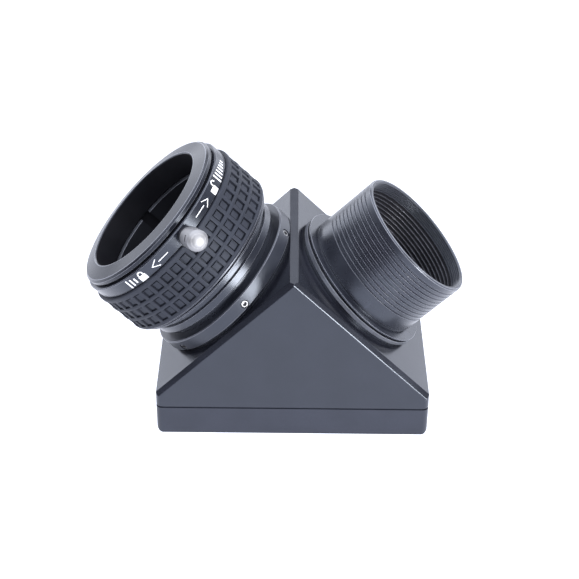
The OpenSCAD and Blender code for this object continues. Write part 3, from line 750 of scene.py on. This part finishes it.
def rubber_grip():
    """Three rows of square pockets. Each floor is a low pillow with a groove round it."""
    rear, front, top, low = 51.1, GRIP_FRONT, 35.15, 34.95
    pocket_length, pocket_width, pitch, first, count = 3.9, 3.4, 5.35, 65.2, 45
    # Distance in from a pocket's edge, and how deep the surface is there
    steps = [(-0.12, 0.0), (0.0, 0.05), (0.05, 1.05), (0.42, 1.1), (0.54, 0.56), (0.9, 0.50)]

    def depth(inside):
        for (near, above), (far, below) in zip(steps, steps[1:]):
            if inside <= far:
                share = max(0.0, (inside - near) / (far - near))
                return above + share * (below - above)
        return steps[-1][1]

    half_width = pocket_width / 2
    columns = []
    for pocket in range(count):
        centre = -54 + pocket * 360 / count
        offsets = [(-(half_width - inside), inside) for inside, _ in steps] + [(0.0, half_width)]
        offsets += [(half_width - inside, inside) for inside, _ in reversed(steps)]
        columns.append((centre - 180 / count, -1.0))
        for offset, inside in offsets:
            columns.append((centre + math.degrees(offset / top), inside))

    rows = [(GRIP_INNER, rear, None)]
    shoulder = 0.8
    for step in range(5):
        angle = math.pi / 2 * step / 4
        rows.append((
            top - shoulder + shoulder * math.sin(angle), rear + shoulder * (1 - math.cos(angle)), None,
        ))
    half_length = pocket_length / 2
    for row in (2, 1, 0):
        centre = first - row * pitch
        rows.append((top, centre - half_length - 0.42, None))
        for inside, _ in steps:
            rows.append((low, centre - half_length + inside, inside))
        rows.append((low, centre, half_length))
        for inside, _ in reversed(steps):
            rows.append((low, centre + half_length - inside, inside))
        rows.append((top, centre + half_length + 0.42, None))
    rows += [(top, front - 0.35, None), (top - 0.1, front - 0.1, None), (top - 0.35, front, None)]
    rows.append((GRIP_INNER, front, None))

    vertices = []
    for angle, across in columns:
        turn = math.radians(angle)
        for radius, station, along in rows:
            if along is not None:
                radius -= depth(min(across, along))
            vertices.append((radius * MM * math.cos(turn), radius * MM * math.sin(turn), station * MM))
    total, faces = len(rows), []
    for column in range(len(columns)):
        after = (column + 1) % len(columns)
        for row in range(total):
            ahead = (row + 1) % total
            faces.append((
                column * total + row, after * total + row, after * total + ahead, column * total + ahead,
            ))
    mesh = bpy.data.meshes.new("rubber_grip")
    mesh.from_pydata(vertices, [], faces)
    piece = new_object("rubber_grip_finished", mesh, EYEPIECE)
    cut_away(piece, [prism(disc(4.1), 32, 37, on_radius(KNOB_ANGLE, KNOB_STATION))])
    mesh = piece.data
    work = bmesh.new()
    work.from_mesh(mesh)
    bmesh.ops.recalc_face_normals(work, faces=work.faces)
    for edge in work.edges:
        edge.smooth = len(edge.link_faces) == 2 and edge.calc_face_angle(0) < math.radians(60)
    for face in work.faces:
        face.smooth = True
    work.to_mesh(mesh)
    work.free()
    weight = piece.modifiers.new("even_normals", "WEIGHTED_NORMAL")
    weight.keep_sharp = True
    mesh.materials.clear()
    mesh.materials.append(MATERIALS["grip_rubber"])
    declare(piece, "rubber_grip")


rubber_grip()


# ------------------------------------------------------------------ lever knob and set screws

def lever_knob():
    """A foot, a body with a short slit in its side, and a domed end with a fine ring in it."""
    height, foot, body, dome = 13.3, 3.5, 3.85, 6.5
    centre = height - dome
    outline = [(2.0, 0.0), (3.5, 0.0), (3.5, foot), (body, foot + 0.25)]
    outline += [(body, centre + math.sqrt(dome ** 2 - body ** 2) - 0.25)]
    ring = 2.5
    for radius in (3.55, 3.2, 2.85, ring + 0.12):
        outline.append((radius, centre + math.sqrt(dome ** 2 - radius ** 2)))
    outline.append((ring, centre + math.sqrt(dome ** 2 - ring ** 2) - 0.1))
    for radius in (ring - 0.12, 2.0, 1.5, 1.0, 0.5, 0.0):
        outline.append((radius, centre + math.sqrt(dome ** 2 - radius ** 2)))
    outline += [(0.0, 4.3), (2.0, 4.3)]
    place = on_radius(KNOB_ANGLE, KNOB_STATION) @ Matrix.Translation((0, 0, KNOB_SEAT * MM))
    slit_height, slit_half_width = 9.4, 0.36
    slit = [(3.45, -1.25), (4.4, -1.25), (4.4, 1.25), (3.45, 1.25)]
    slit_turn = Matrix.Rotation(math.radians(212), 4, "Z")
    slit_rise = Matrix.Translation((0, 0, slit_height * MM))
    slit_tilt = Matrix.Rotation(math.radians(12), 4, "X")
    slit_place = place @ slit_turn @ slit_rise @ slit_tilt
    rows = rounded(outline, 0.15)
    piece = new_object("lever_knob_finished", turned_mesh("lever_knob", rows, 96), place)
    cut_away(piece, [prism(slit, -slit_half_width, slit_half_width, slit_place)])
    set_turned_normals(piece.data, rows)
    piece.data.materials.clear()
    piece.data.materials.append(MATERIALS["polished_steel"])
    piece.data.materials.append(SHADED_KNOB_FOOT)
    piece.data.materials.append(GROOVE_SHADE)
    for polygon in piece.data.polygons:
        radius = math.hypot(polygon.center.x, polygon.center.y)
        # The foot takes the darker steel, painted shade.
        if polygon.center.z < foot * MM:
            polygon.material_index = 1
        # The slit's walls take the near-black colour: painted shade in the slit.
        elif 3.3 * MM < radius < (body - 0.02) * MM and abs(polygon.center.z - slit_height * MM) < 1.4 * MM:
            polygon.material_index = 2
    declare(piece, "lever_knob")


def swivel_set_screws():
    """M3 cone-point set screws with a chamfered top and a hexagonal socket."""
    tip, top, radius = 28.2, 32.3, 1.5
    outline = [
        (0.0, tip), (0.08, tip), (radius, tip + radius - 0.08), (radius, top - 0.3), (1.2, top), (0.0, top),
    ]
    socket = disc(0.87, 6)
    rows = rounded(outline, 0.05)
    work = bmesh.new()
    for angle in SET_SCREW_ANGLES:
        place = on_radius(angle, SET_SCREW_STATION)
        screw = new_object("set_screw", turned_mesh("set_screw", rows, 48), place)
        cut_away(screw, [prism(socket, top - 1.3, top + 0.5, place)])
        set_turned_normals(screw.data, rows)
        part = bmesh.new()
        part.from_mesh(screw.data)
        part.transform(screw.matrix_world)
        together = bpy.data.meshes.new("part")
        part.to_mesh(together)
        part.free()
        work.from_mesh(together)
        bpy.data.meshes.remove(together)
        old = screw.data
        bpy.data.objects.remove(screw)
        bpy.data.meshes.remove(old)
    for edge in work.edges:
        edge.smooth = len(edge.link_faces) == 2 and edge.calc_face_angle(0) < SHARP
    mesh = bpy.data.meshes.new("swivel_set_screws")
    work.to_mesh(mesh)
    work.free()
    mesh.materials.append(MATERIALS["screw_steel"])
    declare(new_object("swivel_set_screws_finished", mesh), "swivel_set_screws")


lever_knob()
swivel_set_screws()


# ------------------------------------------------------------------ print on the band

# How far the ink stands above the band and reaches into it
PRINT_HEIGHT, PRINT_ROOT = 0.025, 0.02
# The station of its middle, and the longest side its outlines may have, so that they follow the band
PRINT_STATION, PRINT_STEP = 71.5, 0.5


def printed(name, strokes):
    """Thin raised ink on the band, from strokes.

    A stroke is an angle and a closed outline in millimetres: along the turn, and station.
    """
    vertices, faces = [], []
    for angle, outline in strokes:
        finer = []
        for (x, y), (next_x, next_y) in zip(outline, outline[1:] + outline[:1]):
            parts = max(1, math.ceil(math.hypot(next_x - x, next_y - y) / PRINT_STEP))
            finer += [
                (x + (next_x - x) * part / parts, y + (next_y - y) * part / parts) for part in range(parts)
            ]
        start, count = len(vertices), len(finer)
        for height in (BAND - PRINT_ROOT, BAND + PRINT_HEIGHT):
            for along, station in finer:
                turn = math.radians(angle) + along / BAND
                vertices.append((height * MM * math.cos(turn), height * MM * math.sin(turn), station * MM))
        faces.append([start + index for index in range(count)][::-1])
        faces.append([start + count + index for index in range(count)])
        for index in range(count):
            after = (index + 1) % count
            faces.append([start + index, start + after, start + count + after, start + count + index])
    mesh = bpy.data.meshes.new(name)
    mesh.from_pydata(vertices, [], faces)
    work = bmesh.new()
    work.from_mesh(mesh)
    bmesh.ops.triangulate(work, faces=[face for face in work.faces if len(face.verts) > 4])
    bmesh.ops.recalc_face_normals(work, faces=work.faces)
    work.to_mesh(mesh)
    work.free()
    mesh.materials.append(PRINT_INK)
    piece = new_object(name, mesh, EYEPIECE)
    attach(piece, "lock_ring")


def line(x0, y0, x1, y1, width):
    """A straight stroke's outline."""
    way = Vector((x1 - x0, y1 - y0)).normalized()
    side = Vector((-way.y, way.x)) * width / 2
    ends = [Vector((x0, y0)), Vector((x1, y1))]
    return [tuple(ends[0] - side), tuple(ends[1] - side), tuple(ends[1] + side), tuple(ends[0] + side)]


def arrow(shaft_start, wings, tip):
    """A plain arrow along the band: angles of its shaft's start, its wings and its tip."""
    middle, width, gap = PRINT_STATION, 0.28, 0.3
    tip_x = (tip - shaft_start) * math.pi / 180 * BAND
    wing_x = (wings - shaft_start) * math.pi / 180 * BAND
    shaft_end = wing_x - math.copysign(gap, tip_x)
    return [
        (shaft_start, line(0, middle, shaft_end, middle, width)),
        (shaft_start, line(wing_x, middle - 1.5, tip_x, middle + 0.05, width)),
        (shaft_start, line(wing_x, middle + 1.5, tip_x, middle - 0.05, width)),
    ]


def padlock(angle, is_open):
    """A padlock seen from the front, its shackle towards the mouth."""
    middle = PRINT_STATION
    body = [(-1.6, middle - 2.0), (1.6, middle - 2.0), (1.6, middle + 0.3), (-1.6, middle + 0.3)]
    outer, inner, centre = 1.2, 0.75, middle + 0.8
    shift = 2.0 if is_open else 0.0
    arc = [math.pi * step / 10 for step in range(11)]
    right_end = centre - 0.1 if is_open else middle + 0.1
    shackle = [(outer + shift, right_end)]
    shackle += [(shift + outer * math.cos(turn), centre + outer * math.sin(turn)) for turn in arc]
    shackle += [(shift - outer, middle + 0.1), (shift - inner, middle + 0.1)]
    shackle += [(shift + inner * math.cos(turn), centre + inner * math.sin(turn)) for turn in reversed(arc)]
    shackle += [(shift + inner, right_end)]
    return [(angle, body), (angle, shackle)]


def scale_marks(angles, lengths):
    """A row of tick marks whose length shows how hard the clamp grips."""
    middle, width = PRINT_STATION, 0.62
    return [
        (angle, line(0, middle - length / 2, 0, middle + length / 2, width))
        for angle, length in zip(angles, lengths)
    ]


printed("release_arrow", arrow(shaft_start=-47.5, wings=-38.0, tip=-33.2))
printed("lock_arrow", arrow(shaft_start=-73.9, wings=-82.4, tip=-87.4))
printed("open_padlock", padlock(-25.2, is_open=True))
printed("closed_padlock", padlock(-96.2, is_open=False))
printed("release_scale", scale_marks(
    [-16.5 + 3.0 * mark for mark in range(7)], [3.8 - 0.4 * mark for mark in range(7)],
))
printed("lock_scale", scale_marks([-101.8 - 3.0 * mark for mark in range(3)], [2.2, 3.0, 3.8]))

# The CAD nodes that still show get their finishes.
for name in NODES:
    if not NODES[name].hide_render:
        NODES[name].data.materials.clear()
        NODES[name].data.materials.append(MATERIALS[SLOT_OF[name]])


# ------------------------------------------------------------------ studio

def area_light(name, direction, distance, size, power):
    """A white light that faces the middle of the object from this direction."""
    data = bpy.data.lights.new(name, "AREA")
    data.shape = "RECTANGLE"
    data.size, data.size_y = size
    data.energy = power
    light = bpy.data.objects.new(name, data)
    aim = Vector((0, 0, 0.04))
    way = Vector(direction).normalized()
    light.location = aim + way * distance
    light.rotation_mode = "QUATERNION"
    light.rotation_quaternion = way.to_track_quat("Z", "Y")
    bpy.context.scene.collection.objects.link(light)


def soft_world():
    """A studio: bright low at the back and overhead, dim in front."""
    world = bpy.data.worlds.new("studio")
    bpy.context.scene.world = world
    world.use_nodes = True
    tree = world.node_tree
    way = add_node(tree, "TexCoord").outputs["Generated"]
    parts = add_node(tree, "SeparateXYZ", Vector=way)
    depth, height = parts.outputs["Y"], parts.outputs["Z"]
    behind = ramp_between(tree, depth, -0.1, 0.6, 0.0, 1.0)
    rise = ramp_between(tree, height, -0.06, 0.03, 0.5, 1.0)
    fall = ramp_between(tree, height, 0.2, 0.5, 1.0, 0.0)
    wall = calculate(tree, "MULTIPLY", calculate(tree, "MULTIPLY", rise, fall), behind)
    overhead = ramp_between(tree, height, 0.46, 0.72, 0.0, 3.0)
    rest = ramp_between(tree, depth, -0.9, 0.5, 0.12, 0.3)
    to_the_right = ramp_between(tree, parts.outputs["X"], 0.0, 0.5, 2.8, 2.5)
    strength = calculate(tree, "ADD", calculate(tree, "MULTIPLY", wall, to_the_right), overhead)
    strength = calculate(tree, "ADD", strength, rest)
    background = tree.nodes["Background"]
    background.inputs["Color"].default_value = (0.93, 0.96, 1.05, 1)
    tree.links.new(strength, background.inputs["Strength"])


def build_studio():
    """The world, a floor that glows more towards the front, and one key light."""
    soft_world()
    half = 4.0
    mesh = bpy.data.meshes.new("floor")
    corners = [(-half, -half, 0), (half, -half, 0), (half, half, 0), (-half, half, 0)]
    mesh.from_pydata(corners, [], [(0, 1, 2, 3)])
    floor = new_object("floor", mesh)
    floor.location.z = -0.0002
    paper = surface(
        "floor", (0.30, 0.305, 0.32), 0.9, variation=0.0, speckle_depth=0.0,
        Emission_Color=(0.97, 1.0, 1.12, 1))
    tree = paper.node_tree
    away = add_node(tree, "SeparateXYZ", Vector=add_node(tree, "TexCoord").outputs["Object"]).outputs["Y"]
    near = ramp_between(tree, away, -0.02, 0.25, 0.75, 0.0)
    glow = calculate(tree, "ADD", near, ramp_between(tree, away, 0.35, 0.7, 0.5, 0.15))
    tree.links.new(glow, tree.nodes["Principled BSDF"].inputs["Emission Strength"])
    mesh.materials.append(paper)
    area_light("key", direction=(0.67, -0.73, 0.12), distance=1.3, size=(0.6, 0.5), power=25)
    bpy.context.scene.view_settings.view_transform = "Standard"


build_studio()
